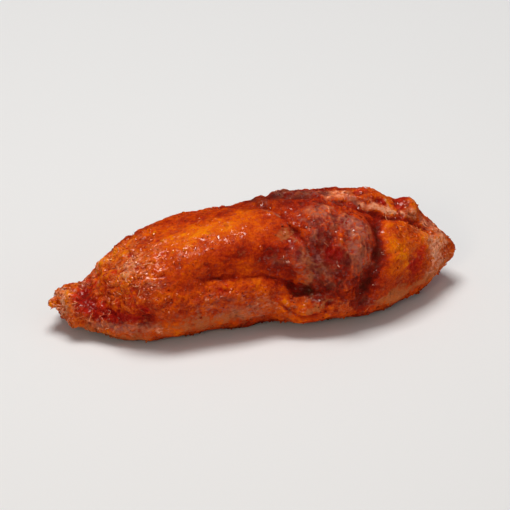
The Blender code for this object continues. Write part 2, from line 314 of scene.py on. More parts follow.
# The lamps. Each: place, width and height, power, tint, and whether it makes highlights on the food.
LAMPS = {
    "overhead": ((-0.04, 0.10, 0.64), (0.36, 0.26), 3.45, WARM_WHITE, True),
    "front_glint": ((-0.38, -0.62, 0.42), (0.16, 0.16), 1.0, PEACH_WHITE, True),
    "right_fill": ((0.62, -0.66, 0.36), (0.8, 0.5), 0.9, WARM_WHITE, False),
}
LIT_POINT = (0, 0, 0.015)  # where they point
WALL_LIGHT = 0.18          # how brightly the studio's pale walls light the food
WALL_LOOK = 0.80           # how bright they look themselves
FLOOR_SIZE = 6.0
FLOOR_TONE = (0.795, 0.825, 0.87)
FAR_GLOW = WALL_LOOK - WALL_LIGHT * sum(FLOOR_TONE) / 3   # makes the far floor look as bright
FLOOR_GLOWS = (0.10, 1.0)  # distances where that glow starts and is full


# -------- noise and curves

SEED_STEP = (3.17, 7.71, 1.93)   # how far apart the noises of two seeds are read
OCTAVE_FADE = 0.9          # how fast a noise's finer waves fade
OCTAVE_STEP = 2.0          # how much finer each octave is than the one before


def noise_at(points, size, seed, octaves=1):
    """Noise of about -1 to 1 with waves of that size, which may differ by axis."""
    scaled = points / np.asarray(size, float) + seed * np.array(SEED_STEP)
    return np.array([noise.fractal(p, OCTAVE_FADE, OCTAVE_STEP, octaves) for p in scaled.tolist()])


def fine_noise(points, size, seed):
    """Noise that has waves of half the size in it too."""
    return noise_at(points, size, seed, octaves=2)


def drift(points, size, reach, seed):
    """The points, each moved by smooth noise, so that a pattern read there isn't regular."""
    return points + reach * np.stack([noise_at(points, size, seed + i) for i in range(3)], axis=1)


def unit(vectors):
    """The vectors, each made one long."""
    return vectors / np.linalg.norm(vectors, axis=1)[:, None]


def smooth_step(low, high, value):
    t = np.clip((value - low) / (high - low), 0, 1)
    return t * t * (3 - 2 * t)


def smooth_through(values, at):
    """A smooth curve through evenly spaced values, read at shares `at` of its run."""
    values = np.asarray(values, float)
    slopes = np.gradient(values)
    run = np.asarray(at) * (len(values) - 1)
    i = np.clip(run.astype(int), 0, len(values) - 2)
    t = run - i
    return (
        (2 * t**3 - 3 * t**2 + 1) * values[i] + (t**3 - 2 * t**2 + t) * slopes[i]
        + (3 * t**2 - 2 * t**3) * values[i + 1] + (t**3 - t**2) * slopes[i + 1]
    )


def add_object(name, data):
    thing = bpy.data.objects.new(name, data)
    bpy.context.scene.collection.objects.link(thing)
    return thing


# -------- the strip's skin

class Skin:
    """The strip's surface while it is sculpted, in millimetres.

    It is also given `rest`, the points before anything is pressed in, `crust` and `wrinkle`, how much
    of them each point has, `marks`, `out`, the finished normals, and `tree`, to find places on it.
    """

    def __init__(self, mesh):
        self.mesh = mesh
        self.points = read(mesh.vertices, "co", 3, np.float32).astype(float)
        self.edges = read(mesh.edges, "vertices", 2, np.int32)
        self.degree = np.bincount(self.edges.ravel(), minlength=len(self.points))

    def write(self):
        self.mesh.vertices.foreach_set("co", self.points.astype(np.float32).ravel())
        self.mesh.update()

    def normals(self):
        self.write()
        return read(self.mesh.vertices, "normal", 3, np.float32).astype(float)

    def push(self, height):
        """Moves the skin out along its normals."""
        self.points = self.points + self.normals() * height[:, None]

    def averaged(self, values, passes):
        """Values at the points, each averaged with its neighbours' again and again."""
        first, second = self.edges.T
        values = values.reshape(len(values), -1)
        for _ in range(passes):
            total = np.empty_like(values)
            for k, column in enumerate(values.T):
                total[:, k] = (
                    np.bincount(first, column[second], len(values))
                    + np.bincount(second, column[first], len(values))
                )
            values = 0.5 * values + 0.5 * total / self.degree[:, None]
        return values

    def hollow(self, passes):
        """How far each point lies below the skin's averaged surface; a ridge is negative."""
        gap = self.averaged(self.points, passes) - self.points
        return np.einsum("ij,ij->i", gap, self.normals())


def read(items, name, width, kind):
    values = np.empty(len(items) * width, kind)
    items.foreach_get(name, values)
    return values.reshape(-1, width)


def frame_tree():
    """The frame's solid in millimetres, to find places on it."""
    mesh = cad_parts[NODE].data
    corners = [v.co / MM for v in mesh.vertices]
    return BVHTree.FromPolygons(corners, [tuple(p.vertices) for p in mesh.polygons])


def place(x, around):
    """The point of the frame's surface at x and that angle round the axis."""
    turn = math.radians(around)
    outward = Vector((0, -math.sin(turn), math.cos(turn)))
    hit = TREE.ray_cast(Vector((x, 0, AXIS_HEIGHT)), outward)[0]
    return np.array(hit if hit else (x, 0, AXIS_HEIGHT))


def path_through(places):
    """A smooth path over the frame's surface, its directions along and across, and its shares."""
    share = np.linspace(0, 1, PATH_STEPS)
    x, around = (smooth_through(column, share) for column in zip(*places))
    path = np.array([place(*pair) for pair in zip(x, around)])
    for _ in range(PATH_SMOOTHING):
        path[1:-1] = (path[:-2] + 2 * path[1:-1] + path[2:]) / 4
    along = unit(np.gradient(path, axis=0))
    turn = np.radians(around)
    outward = np.stack([np.zeros_like(turn), -np.sin(turn), np.cos(turn)], axis=1)
    across = unit(np.cross(outward, along))
    return path, along, across, share


def beside_path(points, places, reach):
    """Which points lie near a path; how far across it each is, upward positive; how much of the
    path's strength is left there; and the path's direction across."""
    path, along, across, share = path_through(places)
    low, high = path.min(0) - reach, path.max(0) + reach
    near = np.flatnonzero(np.all((points > low) & (points < high), axis=1))
    gaps = np.linalg.norm(points[near, None, :] - path[None], axis=2)
    nearest = gaps.argmin(axis=1)
    keep = gaps.min(axis=1) < reach
    near, nearest = near[keep], nearest[keep]
    offset = points[near] - path[nearest]
    side = np.einsum("ij,ij->i", offset, across[nearest])
    upward = np.sign(across[nearest][:, 2] + TINY)
    beyond = np.abs(np.einsum("ij,ij->i", offset, along[nearest]))
    left = np.minimum(share[nearest], 1 - share[nearest]) / FOLD_END
    strength = np.sin(np.minimum(left, 1) * np.pi / 2) * np.exp(-beyond**2)
    return near, side * upward, strength, across[nearest] * upward[:, None]


def nearness(points, x, around, along_spread, round_spread):
    """How near each point is to a place: 1 there, and less and less away from it."""
    offset = points - place(x, around)
    far = (offset[:, 0] / along_spread) ** 2
    far += (offset[:, 1] ** 2 + offset[:, 2] ** 2) / round_spread**2
    return np.exp(-far)


def spots(skin, kind):
    """How strongly each point of the skin belongs to that kind of spot, 0 to 1."""
    wandering = sum(drift(skin.rest, *how) for how in SPOT_DRIFTS) - skin.rest
    missed = np.ones(len(wandering))
    for *spot, strength in SPOTS[kind].values():
        missed *= 1 - strength * nearness(wandering, *spot)
    for half_width, strength, places in STREAKS.get(kind, {}).values():
        near, side, share, _ = beside_path(wandering, places, STREAK_REACH * half_width)
        missed[near] *= 1 - strength * share * np.exp(-((side / half_width) ** 2))
    return 1 - missed


# -------- sculpting

def start_skin():
    """The frame's solid as an even, fine skin."""
    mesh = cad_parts[NODE].data.copy()
    work = bmesh.new()
    work.from_mesh(mesh)
    bmesh.ops.remove_doubles(work, verts=work.verts, dist=MM / 100)
    bmesh.ops.scale(work, vec=(1 / MM,) * 3, verts=work.verts)
    for face in work.faces:
        face.smooth = True
    work.to_mesh(mesh)
    work.free()
    piece = add_object("tender_meat", mesh)
    rounded = piece.modifiers.new("rounded", "SUBSURF")
    rounded.levels = rounded.render_levels = 1
    even = piece.modifiers.new("even", "REMESH")
    even.mode = "VOXEL"
    even.voxel_size = SKIN_STEP
    even.use_smooth_shade = True
    graph = bpy.context.evaluated_depsgraph_get()
    fine = bpy.data.meshes.new_from_object(piece.evaluated_get(graph))
    piece.modifiers.clear()
    piece.data = fine
    skin = Skin(fine)
    skin.points = skin.averaged(skin.points, START_PASSES)
    skin.rest = skin.points.copy()
    return piece, skin


def swell(skin):
    """Adds the small dents and bulges."""
    height = np.zeros(len(skin.points))
    for *spot, rise in SWELLINGS.values():
        height += rise * nearness(skin.points, *spot)
    skin.push(height)


def blunt_snout(skin):
    """Squeezes the snout's end, all but the shred of meat at its tip."""
    x = skin.points[:, 0]
    beyond = np.minimum(x - BLUNT_END - 0.8 * noise_at(skin.points, 2.5, 51), 0)
    from_tip = (skin.points - skin.points[x.argmin()])[:, 1:] / SHRED_SIZE
    squeezed = smooth_step(0.4, 1.3, np.linalg.norm(from_tip, axis=1))
    skin.points[:, 0] -= (1 - BLUNT_SHARE) * beyond * squeezed


def fold(skin):
    """Presses the folds in, raises their lips and leans the upper lip over.

    A fold strays from its path, and its depth and width vary along it.
    """
    for half_width, depth, lean, places in FOLDS.values():
        near, side, strength, upward = beside_path(skin.points, places, FOLD_REACH * half_width)
        here = skin.points[near]
        side = side + 0.7 * noise_at(here, 4.5, 31)
        strength = strength * (1 + 0.9 * noise_at(here, 4.0, 32))
        across = side / (half_width * (1 + 0.8 * noise_at(here, 2.4, 33)))
        furrow = np.exp(-(across**2))
        upper_lip = np.exp(-((across - LIP_PLACE) ** 2))
        lower_lip = np.exp(-((across + LIP_PLACE) ** 2))
        leaning = np.exp(-((across - LEAN_PLACE) ** 2))
        rise = np.zeros(len(skin.points))
        rise[near] = depth * strength * (LIP_RISE * (upper_lip + LOWER_LIP * lower_lip) - furrow)
        slide = np.zeros_like(skin.points)
        slide[near] = -upward * (lean * strength * leaning)[:, None]
        skin.push(rise)
        skin.points = skin.points + slide


def puffs(points, size, seed):
    """Puffy grains with sharp valleys between them, about -0.4 to 0.6."""
    size = np.asarray(size, float)
    wandering = drift(points, size.max() * 1.5, size.max() * 0.3, seed)
    return np.abs(noise_at(wandering, size, seed)) * 2.2 - 0.4


def pimples(points, size, seed):
    """Separate rounded grains on a smooth ground, 0 to 1."""
    size = np.asarray(size, float)
    wandering = drift(points, size.max() * 2.0, size.max() * 0.4, seed)
    return smooth_step(-0.05, 0.55, noise_at(wandering, size, seed))


def wrinkles(points, size, seed):
    """Creased, skin-like ridges, 0 to 1."""
    wandering = drift(points, np.asarray(size) * 1.8, np.max(size) * 0.25, seed)
    return (1 - np.abs(fine_noise(wandering, size, seed + 5)) * 2.2).clip(0, 1) ** 1.5


def roughen(skin):
    """Adds uneven flesh, the crust's grains, the belt's wrinkles and the muscle fibres.

    Each layer is its height times a pattern of that size and seed. What is taken off the grains and
    the wrinkles keeps them from swelling the skin, and a little grain goes on beyond the crust.
    """
    crust, wrinkle, points = skin.crust, skin.wrinkle, skin.points
    skin.push(0.40 * noise_at(points, 8.0, 1) + 0.36 * noise_at(points, 3.6, 2))

    uneven = 0.8 + 0.9 * noise_at(points, 4.0, 3)
    grains = 0.28 * puffs(points, (3.8, 2.8, 2.8), 4) + 0.46 * pimples(points, (2.1, 1.6, 1.6), 5)
    curls = 0.32 * wrinkles(points, (2.3, 1.7, 1.7), 15)
    skin.push((0.12 + crust) * uneven * (grains + curls - 0.20))
    skin.push((0.10 + crust) * 0.14 * pimples(skin.points, 0.95, 14))

    round_belt = 0.38 * wrinkles(points, (2.4, 4.6, 4.6), 6)
    fine_folds = 0.36 * pimples(points, (1.3, 1.9, 1.9), 7)
    skin.push(wrinkle * (round_belt + fine_folds - 0.25))

    slanting = points + points[:, :1] * np.array((0.0, 0.10, 0.22))
    flowing = drift(slanting, 9.0, 1.4, 8)
    fibres = 0.085 * fine_noise(flowing, (9.0, 0.95, 0.95), 9)
    strands = 0.13 * noise_at(flowing, (14.0, 2.1, 2.1), 10)
    skin.push((1 - 0.75 * crust) * (fibres + strands))
    skin.push((0.07 + 0.07 * crust + 0.05 * wrinkle) * noise_at(points, 0.8, 12))


def inside_box(points):
    """The points, kept inside the frame's box."""
    low, high = (np.array(corner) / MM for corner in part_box(NODE))
    return np.clip(points, low, high)


# -------- what the material reads

def glaze_depth_and_shade(skin, maroon):
    """How thick and dark the glaze is: 0 is thin and golden, 1 is burnt.
    It is darker in hollows and creases and lighter on ridges, partly as painted shade and light.
    """
    depth = 0.50 + 0.14 * noise_at(skin.rest, 9.0, 41) + 0.12 * noise_at(skin.rest, 4.0, 42)
    depth += 0.20 * skin.wrinkle - 0.10 * skin.crust + 0.40 * maroon - 0.34 * spots(skin, "amber")
    uneven = 0.14 * noise_at(skin.rest, 2.4, 43) + 0.16 * noise_at(skin.rest, 5.0, 44)
    depth += skin.crust * (1 - 0.8 * maroon) * uneven
    # Darker in hollows and lighter on ridges, whether fine, middling or broad: partly glaze that pools
    # in hollows and runs off ridges, partly painted shade and painted light.
    for passes, added, full_hollow in ((3, 0.07, 0.10), (12, 0.09, 0.25), (60, 0.12, 0.80)):
        depth += added * (skin.hollow(passes) / full_hollow).clip(-1, 1)
    return depth.clip(0, DEEPEST_GLAZE)


def underside_char(skin):
    """How much darker the low underside is, where it faces down."""
    upward = skin.normals()[:, 2] + 0.35 * noise_at(skin.points, 1.8, 21)
    return 0.75 * smooth_step(-0.40, -0.80, upward) * smooth_step(3.8, 1.4, skin.points[:, 2])


def colour_marks(skin):
    """The marks at each point of the finished skin, each 0 to 1."""
    crust, wrinkle = skin.crust, skin.wrinkle
    maroon = spots(skin, "maroon") * (0.95 + 0.35 * noise_at(skin.rest, 1.9, 46))
    # Painted peach glints on the crust at -X: scattered patches, and grain tops where light would catch
    # them; none on maroon.
    pale = 0.45 * smooth_step(0.15, 0.55, noise_at(skin.rest, 2.3, 45))
    pale += 0.10 * smooth_step(0.02, 0.12, -skin.hollow(5))
    pale *= crust * (skin.rest[:, 0] < 0) * (1 - 1.5 * maroon).clip(0, 1)

    from_window = np.linalg.norm(drift(skin.rest, 3.0, 1.0, 61) - place(*BELT_WINDOW), axis=1)
    window = np.exp(-((from_window / WINDOW_RADIUS) ** 2))
    patches = 0.65 * smooth_step(0.20, 0.50, noise_at(skin.rest, 2.7, 47)) * crust * (1 - window)
    crimson = (spots(skin, "crimson") + patches).clip(0, 1)
    # The painted sheen, less in the belt's window, with the painted glints added to it.
    sheen = spots(skin, "mauve") * (1 - 0.75 * window) + pale
    open_to_light = 1 - 0.8 * smooth_step(0.0, 0.25, skin.hollow(12))
    return {
        "glaze": glaze_depth_and_shade(skin, maroon),
        "crimson": crimson,
        # A darker underside, and painted shade in the pocket, pits and creases.
        "char": (underside_char(skin) + spots(skin, "char")).clip(0, 1),
        "mauve": sheen * (1 - 0.8 * crimson),
        "tan": spots(skin, "tan"),
        "rough": (crust + 0.7 * wrinkle).clip(0, 1),
        "wet": (0.9 * (crust + 0.12 * wrinkle) * open_to_light + 0.3 * crimson).clip(0, 1),
    }


def store(mesh, name, values):
    attribute = mesh.attributes.new(name, "FLOAT", "POINT")
    attribute.data.foreach_set("value", values.astype(np.float32))


# -------- materials

class Graph:
    """A material's nodes, wired up by short calls."""

    def __init__(self, name):
        self.material = bpy.data.materials.new(name)
        self.material.use_nodes = True
        self.tree = self.material.node_tree
        self.surface = self.tree.nodes["Principled BSDF"]
        self.position = self.node("TexCoord").outputs["Object"]

    def feed(self, socket, value):
        if isinstance(value, bpy.types.NodeSocket):
            self.tree.links.new(value, socket)
        else:
            socket.default_value = value

    def set(self, node, **inputs):
        for name, value in inputs.items():
            self.feed(node.inputs[name.replace("_", " ")], value)

    def node(self, kind, **inputs):
        node = self.tree.nodes.new("ShaderNode" + kind)
        self.set(node, **inputs)
        return node

    @cache
    def noise(self, name):
        """One of the material's noises, 0 to 1."""
        size, detail, roughness, distortion, stretch = NOISES[name]
        scale = [1 / (size * MM * s) for s in (stretch, 1, 1)]
        scaled = self.node("Mapping", Vector=self.position, Scale=scale).outputs["Vector"]
        node = self.node("TexNoise", Vector=scaled, Scale=1.0, Detail=detail, Roughness=roughness,
                         Distortion=distortion)
        return node.outputs["Fac"]

    def swing(self, name, reach, low=0.3):
        """A noise's swings about its middle, as -reach to reach."""
        return self.ramp(self.noise(name), low, 1 - low, -reach, reach)

    def lines(self, name, wide, strength, thin=0.0):
        """Winding lines where a noise passes its middle."""
        off_middle = self.math("ABSOLUTE", self.math("SUBTRACT", self.noise(name), 0.5))
        return self.ramp(off_middle, thin, wide, strength, 0.0)

    def domes(self, size):
        """Scattered little domes, spaced that many millimetres apart."""
        node = self.node("TexVoronoi")
        node.feature = "SMOOTH_F1"
        self.set(node, Vector=self.position, Scale=1 / (size * MM), Smoothness=0.3)
        return self.math("SUBTRACT", 1.0, self.math("POWER", node.outputs["Distance"], 2.0))

    @cache
    def mask(self, name):
        """One of the MARKS at each point."""
        node = self.node("Attribute")
        node.attribute_name = name
        return node.outputs["Fac"]

    def math(self, operation, *values):
        node = self.node("Math")
        node.operation = operation
        for socket, value in zip(node.inputs, values):
            self.feed(socket, value)
        return node.outputs[0]

    def add(self, total, *values):
        for value in values:
            total = self.math("ADD", total, value)
        return total

    def multiply(self, product, *values):
        for value in values:
            product = self.math("MULTIPLY", product, value)
        return product

    def ramp(self, value, low, high, to_low=0.0, to_high=1.0):
        """The value's smooth way from low to high, as to_low to to_high."""
        node = self.node("MapRange")
        node.interpolation_type = "SMOOTHSTEP"
        self.set(node, Value=value, From_Min=low, From_Max=high, To_Min=to_low, To_Max=to_high)
        return node.outputs["Result"]

    def mix(self, share, below, above):
        node = self.node("Mix")
        node.data_type = "RGBA"
        self.set(node, Factor=share, A=below, B=above)
        return node.outputs["Result"]

    def tones(self, value, stops):
        """The colour that the value has in a row of stops: (value, red, green, blue)."""
        node = self.node("ValToRGB", Fac=value)
        while len(node.color_ramp.elements) < len(stops):
            node.color_ramp.elements.new(0.5)
        for element, (position, *tone) in zip(node.color_ramp.elements, stops):
            element.position = position
            element.color = colour(*tone)
        return node.outputs["Color"]

    def bump(self, height, distance):
        return self.node("Bump", Height=height, Distance=distance * MM).outputs["Normal"]


def colour(red, green, blue):
    """A colour given as it looks on a screen, 0 to 255, as the shader's linear one."""
    shares = (c / 255 for c in (red, green, blue))
    return tuple(c / 12.92 if c < 0.04045 else ((c + 0.055) / 1.055) ** 2.4 for c in shares) + (1.0,)


# The material's noises. Each: wave size, detail, roughness, distortion, stretch along X.
NOISES = {
    "patchy": (3.0, 3.0, 0.6, 0.3, 1.0),
    "fine": (1.0, 3.0, 0.65, 0.0, 1.0),
    "speck": (0.5, 2.0, 0.6, 0.0, 1.0),
    "streaky": (0.8, 3.0, 0.6, 0.5, 7.0),
    "curly": (0.75, 1.0, 0.5, 1.6, 2.2),
    "winding": (3.8, 1.5, 0.5, 0.7, 1.0),
    "lilac": (3.4, 2.0, 0.55, 0.0, 1.0),
    "plum": (2.9, 2.0, 0.55, 0.0, 1.0),
    "blotches": (2.3, 2.0, 0.7, 0.0, 1.0),
    "drops": (1.3, 1.0, 0.55, 0.0, 1.0),
}
DOME_SPACING = 1.15
# The glaze over the meat, from thin and golden to thick and burnt; its darker tones also stand for
# the painted shade in hollows and creases.
GLAZE_TONES = (
    (0.00, 238, 130, 6), (0.20, 222, 96, 5), (0.38, 200, 68, 6),
    (0.56, 170, 43, 8), (0.70, 140, 26, 8), (0.84, 118, 19, 9),
    (1.00, 84, 14, 8),
)
# A painted sheen, the pale look of broad light on duller glaze, over a thin and over a thick glaze.
PAINTED_SHEEN_TONES = (
    (0.26, 255, 184, 150), (0.38, 228, 130, 92), (0.50, 176, 92, 70),
    (0.75, 122, 60, 54),
)
# The crimson of deep, wet glaze, over a thin and over a thick one.
CRIMSON_TONES = (
    (0.30, 206, 34, 14), (0.50, 178, 20, 12), (0.75, 146, 13, 11),
)
# Lilac patches of the painted sheen.
LILAC_SHEEN_TONE = colour(164, 100, 94)
# Plum is painted shade, between the patches of the painted sheen.
PLUM_SHADE_TONE = colour(98, 28, 30)
VEIN_TONE = colour(188, 112, 78)
FIBRE_TONE = colour(240, 156, 92)
TAN_TONE = colour(190, 107, 58)
BLOTCH_TONE = colour(140, 25, 12)
FLECK_TONE = colour(96, 17, 8)
# Char, and also the tone of the painted shade in the pocket, pits and creases.
CHAR_AND_SHADE_TONE = colour(56, 17, 9)


def glaze_tone(g):
    """The glaze's mottled colour, with crimson where it is deep and tan where the meat is bare."""
    mottling = g.swing("streaky", 0.4, 0.25)
    for name, reach in (("patchy", 1.6), ("fine", 0.9), ("speck", 0.5)):
        mottling = g.add(mottling, g.swing(name, reach, 0.25))
    mottling = g.multiply(mottling, g.ramp(g.mask("rough"), 0.0, 1.0, 0.085, 0.09))
    tone = g.tones(g.add(g.mask("glaze"), mottling), GLAZE_TONES)

    crimson = g.add(g.mask("crimson"), g.swing("fine", 0.3))
    deep = g.tones(g.mask("glaze"), CRIMSON_TONES)
    tone = g.mix(g.ramp(crimson, 0.15, 0.85, 0.0, 0.85), tone, deep)
    tan = g.add(g.mask("tan"), g.swing("fine", 0.3), g.swing("patchy", 0.2))
    return g.mix(g.ramp(tan, 0.2, 0.9, 0.0, 0.75), tone, TAN_TONE)


def add_painted_sheen(g, tone):
    """Adds a painted sheen, with lilac patches, and pale veins and painted plum shadows over it."""
    glaze, mauve = g.mask("glaze"), g.mask("mauve")
    lilac = g.multiply(g.ramp(g.noise("lilac"), 0.46, 0.58, 0.0, 0.75), g.ramp(glaze, 0.40, 0.52))
    sheen = g.mix(lilac, g.tones(glaze, PAINTED_SHEEN_TONES), LILAC_SHEEN_TONE)
    sheen_share = g.add(mauve, g.swing("fine", 0.35), g.swing("curly", 0.25))
    tone = g.mix(g.ramp(sheen_share, 0.25, 1.0, 0.0, 0.8), tone, sheen)

    veins = g.multiply(g.lines("winding", 0.11, 0.42), g.ramp(mauve, 0.15, 0.6))
    tone = g.mix(veins, tone, VEIN_TONE)
    # Painted plum shadows between the sheen's patches, where the glaze is deep.
    plum = g.multiply(g.ramp(g.noise("plum"), 0.54, 0.64, 0.0, 0.6), g.ramp(mauve, 0.1, 0.4))
    return g.mix(g.multiply(plum, g.ramp(glaze, 0.44, 0.56)), tone, PLUM_SHADE_TONE)


def add_grain(g, tone):
    """Adds frayed fibres, blotches, flecks, and char, which also paints shade in creases and pits."""
    frayed = g.multiply(
        g.lines("curly", 0.07, 1.0, thin=0.01), g.ramp(g.mask("rough"), 0.1, 0.9, 0.06, 0.5),
        g.ramp(g.noise("patchy"), 0.35, 0.6), g.ramp(g.mask("glaze"), 0.44, 0.66, 1.0, 0.1),
        g.ramp(g.mask("crimson"), 0.1, 0.5, 1.0, 0.2),
    )
    tone = g.mix(frayed, tone, FIBRE_TONE)
    tone = g.mix(g.ramp(g.noise("blotches"), 0.60, 0.70, 0.0, 0.38), tone, BLOTCH_TONE)
    tone = g.mix(g.ramp(g.noise("speck"), 0.67, 0.75, 0.0, 0.28), tone, FLECK_TONE)
    # Char, and painted shade in the pocket, pits and creases.
    charred = g.multiply(g.mask("char"), g.ramp(g.noise("patchy"), 0.3, 0.6, 0.55, 1.0))
    return g.mix(charred, tone, CHAR_AND_SHADE_TONE)


def wetness(g):
    """How strong the wet coat is: by the marks and in drops, less where the glaze has set."""
    drops = g.ramp(g.noise("drops"), 0.60, 0.66, 0.0, 0.6)
    wet = g.add(g.ramp(g.mask("wet"), 0.05, 0.8, 0.03, 0.5), drops)
    return g.multiply(g.math("MINIMUM", wet, 1.0), g.ramp(g.mask("mauve"), 0.2, 0.7, 1.0, 0.35))


def meat_material(name, coat=None, coat_ior=1.5):
    """Meat under glaze. Its wet coat follows the marks, unless one strength is given for it all."""
    g = Graph(name)
    set_dull = g.ramp(g.mask("mauve"), 0.3, 0.9, 0.0, 0.2)
    grain = g.add(g.noise("speck"), g.multiply(g.noise("fine"), 1.5))
    g.set(
        g.surface, Base_Color=add_grain(g, add_painted_sheen(g, glaze_tone(g))),
        Roughness=g.add(g.ramp(g.noise("patchy"), 0.3, 0.7, 0.32, 0.48), set_dull),
        Normal=g.bump(grain, 0.15), Specular_IOR_Level=0.03,
        Subsurface_Weight=0.12, Subsurface_Radius=(1.0, 0.35, 0.12), Subsurface_Scale=0.0010,
        Coat_Weight=wetness(g) if coat is None else coat, Coat_Roughness=0.07, Coat_IOR=coat_ior,
        Coat_Normal=g.bump(g.domes(DOME_SPACING), 0.10),
    )
    return g.material


# -------- the pieces

def finish_piece(piece, material):
    piece.data.transform(((MM, 0, 0, 0), (0, MM, 0, 0), (0, 0, MM, 0), (0, 0, 0, 1)))
    piece.data.materials.clear()
    piece.data.materials.append(material)
    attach(piece, BODY)
    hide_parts(NODE)


def make_meat(material):
    piece, skin = start_skin()
    skin.crust, skin.wrinkle = spots(skin, "crust"), spots(skin, "wrinkle")
    swell(skin)
    blunt_snout(skin)
    fold(skin)
    roughen(skin)
    skin.points = inside_box(skin.points)
    skin.marks = colour_marks(skin)
    for name in MARKS:
        store(skin.mesh, name, skin.marks[name])
    skin.out = skin.normals()
    faces = [tuple(f.vertices) for f in skin.mesh.polygons]
    skin.tree = BVHTree.FromPolygons(skin.points.tolist(), faces)
    finish_piece(piece, material)
    return skin


class Bits:
    """Small closed shapes on the skin that are joined into one piece."""

    def __init__(self, skin, seed):
        self.skin = skin
        self.random = np.random.default_rng(seed)
        self.points, self.faces = [], []
        self.marks = {name: [] for name in MARKS}
        self.count = 0

    def scatter(self, weight, count):
        """Points of the skin, picked at random where the weight is high."""
        weight = np.clip(weight, 0, None)
        return self.random.choice(len(weight), count, replace=False, p=weight / weight.sum())

    def add(self, vertex, points, faces, **changes):
        """Adds a shape that takes its marks from a point of the skin, with some changes."""
        self.points.append(points)
        self.faces += [tuple(corner + self.count for corner in face) for face in faces]
        self.count += len(points)
        for name in MARKS:
            value = self.skin.marks[name][vertex] + changes.get(name, 0.0)
            self.marks[name].append(np.full(len(points), np.clip(value, 0, 1)))

    def lay(self, vertex, heading, points, faces, **changes):
        """Adds a shape whose Z is up, laid on the skin with its X along the heading."""
        normal = Vector(self.skin.out[vertex]).normalized()
        along = tangent(normal, Vector(heading))
        across = normal.cross(along)
        turned = self.skin.points[vertex] + points @ np.array((along, across, normal))
        self.add(vertex, turned, faces, **changes)

    def make(self, name, material):
        mesh = bpy.data.meshes.new(name)
        mesh.from_pydata(inside_box(np.concatenate(self.points)).tolist(), [], self.faces)
        for mark in MARKS:
            store(mesh, mark, np.concatenate(self.marks[mark]))
        mesh.shade_smooth()
        finish_piece(add_object(name, mesh), material)


def tangent(normal, heading):
    """The heading laid flat on the surface."""
    flat = heading - normal * heading.dot(normal)
    return flat.normalized() if flat.length > TINY else normal.orthogonal().normalized()


def strand_path(skin, vertex, heading, length, lift, rise, random):
    """A curved line over the skin, sunk at its root, that lifts by `lift` midway and `rise` at its
    end."""
    point, path = Vector(skin.points[vertex]), []
    turn = random.normal(0, 0.25)
    for share in np.arange(STRAND_STEPS) / (STRAND_STEPS - 1):
        location, normal = skin.tree.find_nearest(point)[:2]
        height = lift * math.sin(math.pi * share) + rise * share**2 - 0.08
        path.append(np.array(location + normal * height))
        heading = tangent(normal, heading)
        heading = heading + normal.cross(heading) * (turn + random.normal(0, 0.16))
        point = location + heading.normalized() * length / (STRAND_STEPS - 1)
    return np.array(path)


def tube(path, radius):
    """A tapered tube along a path, closed to a point at both ends."""
    along = unit(np.gradient(path, axis=0))
    across = unit(np.cross(along, (0.31, 0.52, 0.80)))   # from a direction that isn't the path's own
    upward = np.cross(along, across)
    share = np.linspace(0, 1, len(path))
    thick = radius * np.sqrt(np.sin(np.pi * (0.06 + 0.90 * share)).clip(0.02, 1))
    turns = np.arange(STRAND_SIDES) * 2 * np.pi / STRAND_SIDES
    rings = [
        path[i] + thick[i] * (np.outer(np.cos(turns), across[i]) + np.outer(np.sin(turns), upward[i]))
        for i in range(len(path))
    ]
    ends = [path[:1] - along[:1] * radius, path[-1:] + along[-1:] * radius]
    last_ring = (len(path) - 1) * STRAND_SIDES
    root, tip = last_ring + STRAND_SIDES, last_ring + STRAND_SIDES + 1
    faces = []
    for side in range(STRAND_SIDES):
        beside = (side + 1) % STRAND_SIDES
        for ring in range(0, last_ring, STRAND_SIDES):
            above = ring + STRAND_SIDES
            faces.append((ring + side, ring + beside, above + beside, above + side))
        faces.append((root, beside, side))
        faces.append((tip, last_ring + side, last_ring + beside))
    return np.concatenate(rings + ends), faces


def ball(detail):
    """A unit ball's points and triangles."""
    work = bmesh.new()
    bmesh.ops.create_icosphere(work, subdivisions=detail, radius=1.0)
    points = np.array([v.co for v in work.verts])
    faces = [tuple(v.index for v in f.verts) for f in work.faces]
    work.free()
    return points, faces


def lumpy(points, reach, random):
    """The points of a ball, as a lump."""
    return points * (1 + reach * noise_at(points, LUMP_SIZE, random.uniform(0, 50))[:, None])


